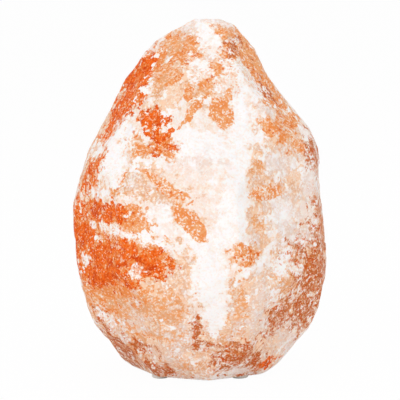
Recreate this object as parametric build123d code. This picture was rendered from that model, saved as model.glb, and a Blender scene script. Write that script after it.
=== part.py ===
from build123d import *

# Salt crystal lamp: a hewn block of rock salt with a drilled cavity, a clip-in lamp holder and a
# small bulb. Millimetres. +Z is up and the origin is on the table, on the axis of the cavity. The
# front looks along -Y, and the cord's groove leaves at the back, along +Y.

import os
from math import acos, copysign, cos, hypot, pi, radians, sin, tan

os.makedirs("parts", exist_ok=True)

# ---------------------------------------------------------------- driving dimensions, in millimetres

# Rock salt block
CRYSTAL_HEIGHT = 205.0  # sawn base to crown
CRYSTAL_WIDTH = 148.0  # at the widest, seen from the front
CRYSTAL_DEPTH = 138.0
CAVITY_DIAMETER = 50.0
CAVITY_ROOF_RADIUS = 12.0  # left by the core drill's worn corner
CAVITY_MOUTH_CHAMFER = 1.5
GROOVE_WIDTH = 10.0
GROOVE_HEIGHT = 9.0

# Rubber pads under the block
PAD_DIAMETER = 10.0
PAD_THICKNESS = 2.0
PAD_CHAMFER = 0.4
PAD_COUNT = 4
PAD_EDGE_GAP = 2.5  # between the cavity's wall and a pad

# Hollow nipple that the cord comes in through, with its nut and washer
INLET_BORE = 7.0
NIPPLE_DIAMETER = 10.0
NIPPLE_LENGTH = 15.0
NIPPLE_CHAMFER = 0.5
NIPPLE_MOUTH_HEIGHT = 14.0  # above the table, which leaves the cord room to turn into the groove
NUT_ACROSS_FLATS = 14.0
NUT_THICKNESS = 3.0
NUT_CONE = 30.0  # degrees, of its turned-down corners
NUT_FROM_MOUTH = 2.0
WASHER_DIAMETER = 17.0
WASHER_THICKNESS = 0.8

# Spring clip of strip steel, which holds the lamp holder in the cavity
CLIP_LEG_COUNT = 3
CLIP_STEEL = 0.6
CLIP_LEG_WIDTH = 9.0
CLIP_TIP_CORNER = 2.5  # rounded corners at a leg's tip
CLIP_RING_DIAMETER = 20.0
CLIP_BEND_RADIUS = 3.0
CLIP_KNEE_RISE = 21.0  # ring to the knee that bears on the cavity's wall
CLIP_KNEE_RADIUS = 3.0
CLIP_LEG_SPLAY = 22.0  # degrees from upright, foot to knee
CLIP_TIP_LEAN = 24.0  # degrees from upright, knee to tip
CLIP_TIP_LENGTH = 10.0

# Lamp holder: a cap and a shell that screw together round a ceramic core. Their bores follow from
# the terminals and the socket that they enclose.
HOLDER_WALL = 2.0
CAP_FOOT_DIAMETER = 20.0
CAP_FLOOR = 2.5
CAP_BOSS_WALL = 2.0
SHELL_LENGTH = 34.0
SHELL_OVERLAP = 5.0  # how far the shell screws down over the cap
SHELL_LIP_THICKNESS = 2.2
GRIP_RIB_COUNT = 24
GRIP_RIB_LENGTH = 11.0
GRIP_RIB_SIDE = 1.0  # of the square bar whose corner makes the ridge
GRIP_RIB_STAND = 0.5
CORE_HEIGHT = 9.0

# Screw socket, centre contact and terminals
SOCKET_WALL = 0.4
SOCKET_LENGTH = 19.5
SOCKET_SEAT_DEPTH = 3.0  # how deep it stands in the core's ring groove
CONTACT_STRIP_WIDTH = 4.0
CONTACT_STRIP_THICKNESS = 0.5
CONTACT_CREST = 1.6  # above the core
CONTACT_BEND_RADIUS = 0.6
CONTACT_TONGUE = 3.3  # from the crest to the strip's free end
TERMINAL_WIDTH = 5.2
TERMINAL_LENGTH = 7.0
TERMINAL_HEIGHT = 6.0
TERMINAL_CORNER = 0.6
STAKE_DEPTH = 1.8  # how deep the strips are staked into the terminals
WIRE_HOLE_DIAMETER = 2.2
WIRE_HOLE_RISE = 2.5  # its axis over the terminal's foot
TERMINAL_SCREW_DIAMETER = 2.5
SCREW_HEAD_DIAMETER = 4.2
SCREW_HEAD_THICKNESS = 1.2
SCREW_SLOT_WIDTH = 0.6

# Bulb
BULB_DIAMETER = 26.0
BULB_LENGTH = 57.0
BULB_GLASS = 0.7
BULB_WAIST_RADIUS = 14.0  # hollow curve from the neck to the ball
BULB_CAP_DIAMETER = 13.7
BULB_CAP_LENGTH = 15.0
BULB_CAP_WALL = 0.35
NECK_DEPTH_IN_CAP = 8.0
INSULATOR_FOOT_DIAMETER = 8.6
INSULATOR_HEIGHT = 3.6
INSULATOR_SPIGOT = 1.5
BULB_CONTACT_DIAMETER = 5.0
BULB_CONTACT_HEIGHT = 1.4
STEM_DIAMETER = 4.0
STEM_BORE = 2.2
STEM_HEIGHT = 17.0  # above the neck's foot
PRESS_HEIGHT = 3.5  # the stem's flattened top
PRESS_WIDTH = 6.0
LEAD_WIRE = 0.6
LEAD_SPACING = 3.2
SUPPORT_WIRE = 0.4
SUPPORT_SPACING = 3.6
FILAMENT_SPAN = 13.0  # between its leads
FILAMENT_RISE = 3.0  # the middle of its arch above its ends
FILAMENT_DROP = 1.0  # its ends below the middle of the ball
FILAMENT_THICKNESS = 0.5  # over its fine coil

# Fits and the room round what is enclosed
TURN_CLEARANCE = 0.25  # bulb cap in its socket
CLIP_CLEARANCE = 0.25  # knees of the clip on the cavity's wall
THREAD_CLEARANCE = 0.02  # screwed and bearing faces of one assembly
HOLE_CLEARANCE = 0.15  # washer and clip round the nipple
NECK_CEMENT = 0.3  # between the bulb's neck and its cap
SHELL_MOUTH_ROOM = 1.9  # round the bulb's cap in the shell's mouth
SHELL_NECK_ROOM = 3.0  # round the socket in the shell's neck
CORE_ROOM = 0.5  # round the core in the shell
CONTACT_LEG_ROOM = 1.6  # between the centre contact's leg and the socket
TERMINAL_ROOM = 0.45  # from the terminals' corners to the cap's bore
SCREW_ROOM = 1.2  # from the nipple's top to the terminal screws
BULB_HEADROOM = 8.75  # from the bulb's top to the cavity's roof

# ---------------------------------------------------------------- derived places

# Radii and offsets, from the bulb's cap outwards
BULB_RADIUS = BULB_DIAMETER / 2
BULB_CAP_INNER_RADIUS = BULB_CAP_DIAMETER / 2 - BULB_CAP_WALL
NECK_RADIUS = BULB_CAP_INNER_RADIUS - NECK_CEMENT
SOCKET_INNER_RADIUS = BULB_CAP_DIAMETER / 2 + TURN_CLEARANCE
SOCKET_OUTER_RADIUS = SOCKET_INNER_RADIUS + SOCKET_WALL
CONTACT_LEG_OFFSET = SOCKET_INNER_RADIUS - CONTACT_LEG_ROOM - CONTACT_STRIP_THICKNESS
TERMINAL_OFFSET = (CONTACT_LEG_OFFSET + SOCKET_OUTER_RADIUS) / 2
TERMINAL_REACH = hypot(TERMINAL_OFFSET + TERMINAL_WIDTH / 2, TERMINAL_LENGTH / 2)
CAP_BORE_RADIUS = TERMINAL_REACH + TERMINAL_ROOM
CAP_THREAD_RADIUS = CAP_BORE_RADIUS + HOLDER_WALL
SHELL_BORE_RADIUS = CAP_THREAD_RADIUS + THREAD_CLEARANCE
HOLDER_RADIUS = SHELL_BORE_RADIUS + HOLDER_WALL
CORE_RADIUS = SHELL_BORE_RADIUS - CORE_ROOM
SHELL_NECK_BORE_RADIUS = SOCKET_OUTER_RADIUS + SHELL_NECK_ROOM
SHELL_NECK_RADIUS = SHELL_NECK_BORE_RADIUS + HOLDER_WALL
SHELL_MOUTH_RADIUS = BULB_CAP_DIAMETER / 2 + SHELL_MOUTH_ROOM
NIPPLE_RADIUS = NIPPLE_DIAMETER / 2
CAVITY_RADIUS = CAVITY_DIAMETER / 2
PAD_RING_RADIUS = CAVITY_RADIUS + PAD_EDGE_GAP + PAD_DIAMETER / 2

# Heights, from the table up
CRYSTAL_BASE = PAD_THICKNESS
NIPPLE_TOP = NIPPLE_MOUTH_HEIGHT + NIPPLE_LENGTH
NUT_BOTTOM = NIPPLE_MOUTH_HEIGHT + NUT_FROM_MOUTH
WASHER_BOTTOM = NUT_BOTTOM + NUT_THICKNESS
CLIP_BOTTOM = WASHER_BOTTOM + WASHER_THICKNESS
CAP_BOTTOM = CLIP_BOTTOM + CLIP_STEEL
SCREW_BOTTOM = NIPPLE_TOP + SCREW_ROOM
TERMINAL_BOTTOM = SCREW_BOTTOM + SCREW_HEAD_THICKNESS
TERMINAL_TOP = TERMINAL_BOTTOM + TERMINAL_HEIGHT
STAKE_BOTTOM = TERMINAL_TOP - STAKE_DEPTH
CAP_TOP = TERMINAL_TOP
SHELL_BOTTOM = CAP_TOP - SHELL_OVERLAP
SHELL_TOP = SHELL_BOTTOM + SHELL_LENGTH
CORE_BOTTOM = CAP_TOP
CORE_TOP = CORE_BOTTOM + CORE_HEIGHT
SOCKET_BOTTOM = CORE_TOP - SOCKET_SEAT_DEPTH
CONTACT_TOP = CORE_TOP + CONTACT_CREST
BULB_BOTTOM = CONTACT_TOP + TURN_CLEARANCE
INSULATOR_BOTTOM = BULB_BOTTOM + BULB_CONTACT_HEIGHT
BULB_CAP_BOTTOM = INSULATOR_BOTTOM + INSULATOR_HEIGHT
BULB_CAP_TOP = BULB_CAP_BOTTOM + BULB_CAP_LENGTH
BULB_TOP = BULB_BOTTOM + BULB_LENGTH
BALL_CENTRE = BULB_TOP - BULB_RADIUS
NECK_FOOT = BULB_CAP_TOP - NECK_DEPTH_IN_CAP
STEM_TOP = NECK_FOOT + STEM_HEIGHT
PRESS_BOTTOM = STEM_TOP - PRESS_HEIGHT
CAVITY_ROOF = BULB_TOP + BULB_HEADROOM

# The filament's arch
FILAMENT_FOOT = BALL_CENTRE - FILAMENT_DROP
FILAMENT_TOP = FILAMENT_FOOT + FILAMENT_RISE
FILAMENT_HALF = (FILAMENT_SPAN - FILAMENT_THICKNESS) / 2 - 2 * THREAD_CLEARANCE
FILAMENT_ARCH_RADIUS = (FILAMENT_HALF**2 + FILAMENT_RISE**2) / (2 * FILAMENT_RISE)

# ---------------------------------------------------------------- rock salt block

# The block's outline at some heights, as shares of its height and of half its width and depth.
# Each row: height, then how far it reaches to the left, right, front and back of the cavity's axis.
OUTLINE_STATIONS = (
    (0.000, 0.545, 0.555, 0.650, 0.640),
    (0.020, 0.625, 0.650, 0.730, 0.700),
    (0.050, 0.690, 0.720, 0.800, 0.755),
    (0.110, 0.815, 0.855, 0.890, 0.850),
    (0.200, 0.920, 0.965, 0.975, 0.920),
    (0.310, 0.975, 1.000, 1.020, 0.975),
    (0.440, 1.005, 0.965, 1.030, 0.990),
    (0.550, 0.945, 0.945, 1.000, 0.945),
    (0.660, 0.825, 0.895, 0.925, 0.850),
    (0.750, 0.695, 0.700, 0.810, 0.740),
    (0.840, 0.560, 0.525, 0.660, 0.600),
    (0.920, 0.400, 0.425, 0.470, 0.430),
    (0.975, 0.225, 0.355, 0.260, 0.240),
    (1.000, 0.070, 0.235, 0.090, 0.080),
)
OUTLINE_POINTS = 16
OUTLINE_SQUARENESS = 2.25  # 2 is an ellipse, more is squarer
LUMP_HEIGHT = 0.016  # share of the radius

# Flats left by the hewer's adze: compass bearing and slope of each face's outward normal, in
# degrees, and how deep it bites into the lofted block, in millimetres. Bearing -90 is the front.
HEWN_FLATS = (
    # front
    (-102, 5, 7.5),
    (-50, 8, 10.0),
    (-146, 3, 6.5),
    (-88, -19, 7.0),
    (-42, -22, 8.5),
    (-132, -22, 8.0),
    (-150, -40, 5.0),
    (-108, -44, 5.5),
    (-62, -43, 5.0),
    (-22, -36, 3.0),
    (-120, 25, 8.0),
    (-72, 27, 8.5),
    (-30, 36, 6.0),
    (-132, 45, 8.0),
    (-88, 44, 8.0),
    (-45, 52, 4.0),
    (-160, 30, 3.5),
    # back
    (88, 2, 8.0),
    (134, 8, 8.5),
    (46, 10, 8.5),
    (66, -22, 8.0),
    (112, -24, 8.0),
    (150, -22, 5.5),
    (28, -24, 5.5),
    (132, -42, 5.0),
    (88, -44, 5.0),
    (42, -44, 5.0),
    (108, 28, 8.5),
    (62, 30, 8.5),
    (154, 34, 5.0),
    (26, 40, 5.0),
    (128, 50, 7.0),
    (76, 52, 7.0),
)
CUTTER_SIZE = 400.0  # larger than any block this lamp comes in

GLASS_STEPS = 4  # straight steps in the waist of the bulb, and half of those in its ball

ON_BASE = (Align.CENTER, Align.CENTER, Align.MIN)


def outline_points(station):
    """The points of one closed outline of the block, by bearing round the cavity's axis."""
    share, left, right, front, back = station
    height = CRYSTAL_BASE + share * CRYSTAL_HEIGHT
    points = []
    for i in range(OUTLINE_POINTS):
        bearing = 2 * pi * i / OUTLINE_POINTS
        across, along = cos(bearing), sin(bearing)
        reach_x = (right if across > 0 else left) * CRYSTAL_WIDTH / 2
        reach_y = (back if along > 0 else front) * CRYSTAL_DEPTH / 2
        power = 2 / OUTLINE_SQUARENESS
        lump = 1 + LUMP_HEIGHT * sin(3 * bearing + 7 * share) * along**2
        lump += LUMP_HEIGHT * sin(5 * bearing - 11 * share) * along**2
        points.append(
            (
                copysign(abs(across) ** power, across) * reach_x * lump,
                copysign(abs(along) ** power, along) * reach_y * lump,
                height,
            )
        )
    return points


def lofted_block():
    """The block before hewing: one smooth loft through its outlines."""
    sections = []
    for station in OUTLINE_STATIONS:
        edge = Edge.make_spline([Vector(*p) for p in outline_points(station)], periodic=True)
        sections.append(Face(Wire([edge])))
    return loft(sections)


def hewn_flat(bearing, slope, bite):
    """The waste beyond one hewn flat, which lies bite inside the block's furthest point that way."""
    b, s = radians(bearing), radians(slope)
    normal = Vector(cos(b) * cos(s), sin(b) * cos(s), sin(s))
    furthest = max(
        normal.dot(Vector(*p)) for station in OUTLINE_STATIONS for p in outline_points(station)
    )
    face = Plane(origin=normal * (furthest - bite), z_dir=normal)
    return face * Box(CUTTER_SIZE, CUTTER_SIZE, CUTTER_SIZE, align=ON_BASE)


def cavity():
    """The drilled cavity for the lamp holder, open at the sawn base, with its mouth's chamfer."""
    wall = CAVITY_RADIUS
    roof = CAVITY_ROOF
    corner = CAVITY_ROOF_RADIUS
    mouth = wall + CAVITY_MOUTH_CHAMFER
    with BuildPart() as made:
        with BuildSketch(Plane.XZ):
            with BuildLine():
                Polyline(
                    (0, CRYSTAL_BASE - 1),
                    (mouth, CRYSTAL_BASE - 1),
                    (mouth, CRYSTAL_BASE),
                    (wall, CRYSTAL_BASE + CAVITY_MOUTH_CHAMFER),
                    (wall, roof - corner),
                )
                RadiusArc((wall, roof - corner), (wall - corner, roof), -corner)
                Polyline((wall - corner, roof), (0, roof), (0, CRYSTAL_BASE - 1))
            make_face()
        revolve(axis=Axis.Z)
    return made.part


def cord_groove():
    """The round-topped groove from the cavity to the back, which lets the cord out under the block."""
    half = GROOVE_WIDTH / 2
    spring_line = CRYSTAL_BASE + GROOVE_HEIGHT - half
    below = CRYSTAL_BASE - 1
    with BuildPart() as made:
        with BuildSketch(Plane.XZ):
            with BuildLine():
                Polyline((-half, spring_line), (-half, below), (half, below), (half, spring_line))
                ThreePointArc((half, spring_line), (0, spring_line + half), (-half, spring_line))
            make_face()
        extrude(amount=-CRYSTAL_DEPTH)
    return made.part


def salt_crystal():
    """The hewn block, centred over the cavity's axis, then drilled and grooved."""
    block = lofted_block()
    for bearing, slope, bite in HEWN_FLATS:
        block -= hewn_flat(bearing, slope, bite)
    middle = block.bounding_box().center()
    block = Pos(-middle.X, -middle.Y, 0) * block
    return block - cavity() - cord_groove()


def foot_pads():
    """Rubber discs stuck to the sawn base, spaced to clear the cord's groove."""
    pad = Cylinder(PAD_DIAMETER / 2, PAD_THICKNESS, align=ON_BASE)
    pad = chamfer(pad.edges().filter_by(GeomType.CIRCLE).sort_by(Axis.Z)[0], PAD_CHAMFER)
    places = PolarLocations(PAD_RING_RADIUS, PAD_COUNT, start_angle=180 / PAD_COUNT)
    return [place * pad for place in places]


# ---------------------------------------------------------------- shapes that several pieces use


def tube(outer_radius, inner_radius, bottom, top):
    """A plain upright tube or ring on the axis."""
    height = top - bottom
    ring = Cylinder(outer_radius, height, align=ON_BASE) - Cylinder(inner_radius, height, align=ON_BASE)
    return Pos(0, 0, bottom) * ring


def turned(*corners):
    """A turned piece, from the corners of its half section as (radius, height)."""
    return revolve(Plane.XZ * make_face(Polyline(*corners, close=True)), axis=Axis.Z)


def wire(radius, line):
    """Round wire along a line in the XZ plane."""
    path = Plane.XZ * line
    return sweep(Plane(origin=path @ 0, z_dir=path % 0) * Circle(radius), path=path)


def strip(path, thickness, width):
    """Flat strip that lies to the left of a path in the XZ plane, centred on Y."""
    outline = offset(path, amount=thickness, side=Side.LEFT)
    return extrude(Plane.XZ * make_face(outline), amount=width / 2, both=True)


# ---------------------------------------------------------------- nipple, nut, washer and clip


def cord_nipple():
    """Hollow threaded tube, chamfered at both ends."""
    outer, inner = NIPPLE_RADIUS, INLET_BORE / 2
    return turned(
        (inner, NIPPLE_MOUTH_HEIGHT),
        (outer - NIPPLE_CHAMFER, NIPPLE_MOUTH_HEIGHT),
        (outer, NIPPLE_MOUTH_HEIGHT + NIPPLE_CHAMFER),
        (outer, NIPPLE_TOP - NIPPLE_CHAMFER),
        (outer - NIPPLE_CHAMFER, NIPPLE_TOP),
        (inner, NIPPLE_TOP),
    )


def lock_nut():
    """Thin hexagon nut with its corners turned down to a cone on both faces."""
    to_flat = NUT_ACROSS_FLATS / 2
    to_corner = to_flat / cos(pi / 6)
    drop = (to_corner - to_flat) * tan(radians(NUT_CONE))
    prism = extrude(RegularPolygon(to_flat, 6, major_radius=False), amount=NUT_THICKNESS)
    blank = turned(
        (0, 0),
        (to_flat, 0),
        (to_corner, drop),
        (to_corner, NUT_THICKNESS - drop),
        (to_flat, NUT_THICKNESS),
        (0, NUT_THICKNESS),
    )
    hole = Cylinder(NIPPLE_RADIUS + THREAD_CLEARANCE, NUT_THICKNESS, align=ON_BASE)
    return Pos(0, 0, NUT_BOTTOM) * ((prism & blank) - hole)


def clip_washer():
    """Plain washer between the nut and the clip."""
    return tube(WASHER_DIAMETER / 2, NIPPLE_RADIUS + HOLE_CLEARANCE, WASHER_BOTTOM, CLIP_BOTTOM)


def clip_leg():
    """One leg towards +X: out from the ring, up to the knee on the cavity's wall, then in to its tip."""
    splay, lean = radians(CLIP_LEG_SPLAY), radians(CLIP_TIP_LEAN)
    edge_radius = CAVITY_RADIUS - CLIP_CLEARANCE  # the knee's two ends bear first
    knee_x = (edge_radius**2 - (CLIP_LEG_WIDTH / 2) ** 2) ** 0.5 - CLIP_KNEE_RADIUS
    knee_z = CLIP_BOTTOM + CLIP_KNEE_RISE
    knee_low = (knee_x + CLIP_KNEE_RADIUS * cos(splay), knee_z - CLIP_KNEE_RADIUS * sin(splay))
    knee_out = (knee_x + CLIP_KNEE_RADIUS, knee_z)
    knee_high = (knee_x + CLIP_KNEE_RADIUS * cos(lean), knee_z + CLIP_KNEE_RADIUS * sin(lean))
    tip = (knee_high[0] - CLIP_TIP_LENGTH * sin(lean), knee_high[1] + CLIP_TIP_LENGTH * cos(lean))
    foot_x = knee_low[0] - (knee_low[1] - CLIP_BOTTOM) * tan(splay)
    inside_ring = (CLIP_RING_DIAMETER / 2 + NIPPLE_RADIUS) / 2
    with BuildLine() as outside:
        FilletPolyline((inside_ring, CLIP_BOTTOM), (foot_x, CLIP_BOTTOM), knee_low, radius=CLIP_BEND_RADIUS)
        ThreePointArc(knee_low, knee_out, knee_high)
        Line(knee_high, tip)
    leg = strip(outside.line, CLIP_STEEL, CLIP_LEG_WIDTH)
    tip_edges = leg.edges().filter_by(GeomType.LINE).sort_by(Axis.Z)
    corners = [edge for edge in tip_edges if edge.length < CLIP_STEEL * 1.01][-2:]
    return fillet(corners, CLIP_TIP_CORNER)


def spring_clip():
    """Ring and bent legs in one piece of spring strip."""
    ring = tube(CLIP_RING_DIAMETER / 2, NIPPLE_RADIUS + HOLE_CLEARANCE, CLIP_BOTTOM, CAP_BOTTOM)
    first = -90  # one leg towards the front, so that the groove at the back stays clear
    clip = ring
    for place in PolarLocations(0, CLIP_LEG_COUNT, start_angle=first):
        clip += place * clip_leg()
    return clip


# ---------------------------------------------------------------- lamp holder


def holder_cap():
    """Lower moulding: a tapered cup with a threaded boss for the nipple and a threaded neck for the shell."""
    thread_hole = NIPPLE_RADIUS + THREAD_CLEARANCE
    foot_radius = CAP_FOOT_DIAMETER / 2
    boss_radius = NIPPLE_RADIUS + CAP_BOSS_WALL
    floor = CAP_BOTTOM + CAP_FLOOR
    return turned(
        (thread_hole, CAP_BOTTOM),
        (foot_radius, CAP_BOTTOM),
        (foot_radius, floor),
        (HOLDER_RADIUS, SHELL_BOTTOM - HOLDER_WALL),
        (HOLDER_RADIUS, SHELL_BOTTOM),
        (CAP_THREAD_RADIUS, SHELL_BOTTOM),
        (CAP_THREAD_RADIUS, CAP_TOP),
        (CAP_BORE_RADIUS, CAP_TOP),
        (CAP_BORE_RADIUS, SCREW_BOTTOM),
        (foot_radius - HOLDER_WALL, floor),
        (boss_radius, floor),
        (boss_radius, NIPPLE_TOP),
        (thread_hole, NIPPLE_TOP),
    )


def holder_shell():
    """Upper moulding: screws down over the cap, clamps the core, and has grip ribs round its skirt."""
    taper = HOLDER_RADIUS - SHELL_NECK_RADIUS
    skirt_top = CORE_TOP + HOLDER_WALL
    lip_bottom = SHELL_TOP - SHELL_LIP_THICKNESS
    shell = turned(
        (SHELL_BORE_RADIUS, SHELL_BOTTOM),
        (HOLDER_RADIUS, SHELL_BOTTOM),
        (HOLDER_RADIUS, skirt_top),
        (SHELL_NECK_RADIUS, skirt_top + 2 * taper),
        (SHELL_NECK_RADIUS, SHELL_TOP - taper),
        (SHELL_NECK_RADIUS - taper, SHELL_TOP),
        (SHELL_MOUTH_RADIUS, SHELL_TOP),
        (SHELL_MOUTH_RADIUS, lip_bottom),
        (SHELL_NECK_BORE_RADIUS, lip_bottom),
        (SHELL_NECK_BORE_RADIUS, CORE_TOP),
        (SHELL_BORE_RADIUS, CORE_TOP),
    )
    rib_bottom = (SHELL_BOTTOM + skirt_top - GRIP_RIB_LENGTH) / 2
    rib = Rot(0, 0, 45) * Box(GRIP_RIB_SIDE, GRIP_RIB_SIDE, GRIP_RIB_LENGTH, align=ON_BASE)
    rib_offset = HOLDER_RADIUS + GRIP_RIB_STAND - hypot(GRIP_RIB_SIDE, GRIP_RIB_SIDE) / 2
    for place in PolarLocations(rib_offset, GRIP_RIB_COUNT):
        shell += Pos(0, 0, rib_bottom) * place * rib
    return shell


def socket_tab(bottom, top, grow=0.0):
    """The side contact: a strip of the screw socket's wall that runs down towards -X."""
    wall = tube(SOCKET_OUTER_RADIUS + grow, SOCKET_INNER_RADIUS - grow, bottom, top)
    width = CONTACT_STRIP_WIDTH + 2 * grow
    window = Box(SOCKET_OUTER_RADIUS * 2, width, top - bottom, align=(Align.MAX, Align.CENTER, Align.MIN))
    return wall & Pos(0, 0, bottom) * window


def contact_leg_slot(bottom, top, ease=THREAD_CLEARANCE):
    """The slot that the centre contact's leg passes through, towards +X, eased on its inner side."""
    depth = ease + CONTACT_STRIP_THICKNESS + THREAD_CLEARANCE
    width = CONTACT_STRIP_WIDTH + 2 * THREAD_CLEARANCE
    slot = Box(depth, width, top - bottom, align=(Align.MIN, Align.CENTER, Align.MIN))
    return Pos(CONTACT_LEG_OFFSET - ease, 0, bottom) * slot


def holder_core():
    """Ceramic insert, with a ring groove for the screw socket and slots for both contacts' legs."""
    core = Pos(0, 0, CORE_BOTTOM) * Cylinder(CORE_RADIUS, CORE_HEIGHT, align=ON_BASE)
    outer, inner = SOCKET_OUTER_RADIUS + THREAD_CLEARANCE, SOCKET_INNER_RADIUS - THREAD_CLEARANCE
    core -= tube(outer, inner, SOCKET_BOTTOM, CORE_TOP)
    core -= socket_tab(CORE_BOTTOM, SOCKET_BOTTOM, THREAD_CLEARANCE)
    return core - contact_leg_slot(CORE_BOTTOM, CORE_TOP, ease=CONTACT_BEND_RADIUS)


def screw_socket():
    """Thin shell that takes the bulb's cap, with its side contact's leg."""
    shell = tube(SOCKET_OUTER_RADIUS, SOCKET_INNER_RADIUS, SOCKET_BOTTOM, SOCKET_BOTTOM + SOCKET_LENGTH)
    return shell + socket_tab(STAKE_BOTTOM, SOCKET_BOTTOM)


def centre_contact():
    """Sprung strip: up through the core from its terminal, over the core, and to a crest on the axis."""
    out = CONTACT_LEG_OFFSET + CONTACT_STRIP_THICKNESS
    flat = CORE_TOP + CONTACT_STRIP_THICKNESS
    path = FilletPolyline(
        (out, STAKE_BOTTOM),
        (out, flat),
        (CONTACT_LEG_OFFSET - CONTACT_CREST, flat),
        (0, CONTACT_TOP),
        (-CONTACT_TONGUE, flat),
        radius=CONTACT_BEND_RADIUS,
    )
    return strip(path, CONTACT_STRIP_THICKNESS, CONTACT_STRIP_WIDTH)


def terminals():
    """Two brass pillar terminals under the core, each staked to one contact."""
    pillars = []
    block = Box(TERMINAL_WIDTH, TERMINAL_LENGTH, TERMINAL_HEIGHT, align=ON_BASE)
    block = fillet(block.edges().filter_by(Axis.Z), TERMINAL_CORNER)
    wire_hole = Rot(90, 0, 0) * Cylinder(WIRE_HOLE_DIAMETER / 2, TERMINAL_LENGTH)
    block -= Pos(0, 0, WIRE_HOLE_RISE) * wire_hole
    block -= Cylinder(TERMINAL_SCREW_DIAMETER / 2 + THREAD_CLEARANCE, WIRE_HOLE_RISE, align=ON_BASE)
    for side in (-1, 1):
        pillar = Pos(side * TERMINAL_OFFSET, 0, TERMINAL_BOTTOM) * block
        if side < 0:
            pillar -= socket_tab(STAKE_BOTTOM, TERMINAL_TOP, THREAD_CLEARANCE)
        else:
            pillar -= contact_leg_slot(STAKE_BOTTOM, TERMINAL_TOP)
        pillars.append(pillar)
    return pillars


def terminal_screws():
    """Slotted screws from below, which clamp the wires in the pillars."""
    head = Cylinder(SCREW_HEAD_DIAMETER / 2, SCREW_HEAD_THICKNESS, align=ON_BASE)
    slot = Box(SCREW_HEAD_DIAMETER, SCREW_SLOT_WIDTH, SCREW_HEAD_THICKNESS)
    shank = Cylinder(TERMINAL_SCREW_DIAMETER / 2, WIRE_HOLE_RISE, align=ON_BASE)
    screw = (head - slot) + Pos(0, 0, SCREW_HEAD_THICKNESS) * shank
    return [Pos(side * TERMINAL_OFFSET, 0, SCREW_BOTTOM) * screw for side in (-1, 1)]


# ---------------------------------------------------------------- bulb


def bulb_contact():
    """Domed solder contact at the foot of the bulb."""
    edge = BULB_CONTACT_DIAMETER / 2
    with BuildLine() as section:
        Line((0, INSULATOR_BOTTOM), (0, BULB_BOTTOM))
        TangentArc((0, BULB_BOTTOM), (edge, INSULATOR_BOTTOM), tangent=(1, 0))
        Line((edge, INSULATOR_BOTTOM), (0, INSULATOR_BOTTOM))
    return revolve(Plane.XZ * make_face(section.line), axis=Axis.Z)


def bulb_insulator():
    """Black glass cone between the contact and the cap, with a spigot up inside the cap."""
    hole = LEAD_WIRE / 2 + HOLE_CLEARANCE
    spigot = BULB_CAP_INNER_RADIUS - THREAD_CLEARANCE
    shoulder = BULB_CAP_DIAMETER / 2 - BULB_CAP_WALL / 2
    return turned(
        (hole, INSULATOR_BOTTOM),
        (INSULATOR_FOOT_DIAMETER / 2, INSULATOR_BOTTOM),
        (shoulder, BULB_CAP_BOTTOM),
        (spigot, BULB_CAP_BOTTOM),
        (spigot, BULB_CAP_BOTTOM + INSULATOR_SPIGOT),
        (hole, BULB_CAP_BOTTOM + INSULATOR_SPIGOT),
    )


def bulb_cap():
    """Thin metal cap, with its thread left plain."""
    return tube(BULB_CAP_DIAMETER / 2, BULB_CAP_INNER_RADIUS, BULB_CAP_BOTTOM, BULB_CAP_TOP)


def glass_profile(inset, steps):
    """The glass from its foot over the waist to the ball's top, as (radius, height), moved in by inset.

    The waist and the ball are arcs tangent to each other, each drawn as a few short straight steps.
    """
    ball, waist = BULB_RADIUS - inset, BULB_WAIST_RADIUS + inset
    across = NECK_RADIUS + BULB_WAIST_RADIUS  # from the axis to the middle of the waist's arc
    lean = acos(across / (BULB_RADIUS + BULB_WAIST_RADIUS))
    waist_height = BALL_CENTRE - across * tan(lean)
    points = [(NECK_RADIUS - inset, NECK_FOOT)]
    for i in range(steps):
        turn = lean * i / steps
        points.append((across - waist * cos(turn), waist_height + waist * sin(turn)))
    for i in range(2 * steps):
        turn = (lean + pi / 2) * i / (2 * steps) - lean
        points.append((ball * cos(turn), BALL_CENTRE + ball * sin(turn)))
    return points + [(0, BALL_CENTRE + ball)]


def bulb_glass():
    """Blown pear-shaped glass with an even wall."""
    outside = glass_profile(0, GLASS_STEPS)
    inside = glass_profile(BULB_GLASS, GLASS_STEPS)
    return turned(*outside, *reversed(inside))


def bulb_stem():
    """Glass flare, tube and flattened press, which seals the neck and carries the wires."""
    flare = NECK_RADIUS - BULB_GLASS - THREAD_CLEARANCE
    tube_radius, bore = STEM_DIAMETER / 2, STEM_BORE / 2
    stem = turned(
        (bore, NECK_FOOT),
        (flare, NECK_FOOT),
        (flare, NECK_FOOT + BULB_GLASS),
        (tube_radius, NECK_FOOT + flare),
        (tube_radius, PRESS_BOTTOM),
        (bore, PRESS_BOTTOM),
    )
    press = Box(PRESS_WIDTH, STEM_BORE, PRESS_HEIGHT, align=ON_BASE)
    press = fillet(press.edges().filter_by(Axis.Z), BULB_GLASS)
    return stem + Pos(0, 0, PRESS_BOTTOM) * press


def bulb_leads():
    """Wires: two from the press to the filament, one to the foot contact and one to the cap."""
    wire_radius, bend = LEAD_WIRE / 2, LEAD_WIRE
    start, end = LEAD_SPACING / 2, FILAMENT_SPAN / 2 + wire_radius
    inner = STEM_BORE / 4
    up = STEM_TOP + 2 * LEAD_WIRE
    to_cap_height = NECK_FOOT - INSULATOR_SPIGOT
    lines = [
        FilletPolyline(
            (side * start, STEM_TOP), (side * start, up), (side * end, FILAMENT_FOOT), radius=bend
        )
        for side in (-1, 1)
    ]
    to_contact = FilletPolyline(
        (0, INSULATOR_BOTTOM),
        (0, BULB_CAP_BOTTOM + INSULATOR_SPIGOT),
        (inner, NECK_FOOT),
        (inner, PRESS_BOTTOM),
        radius=bend,
    )
    to_cap = FilletPolyline(
        (-BULB_CAP_INNER_RADIUS + THREAD_CLEARANCE, to_cap_height),
        (-inner, to_cap_height),
        (-inner, PRESS_BOTTOM),
        radius=bend,
    )
    return [wire(wire_radius, line) for line in lines + [to_contact, to_cap]]


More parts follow.
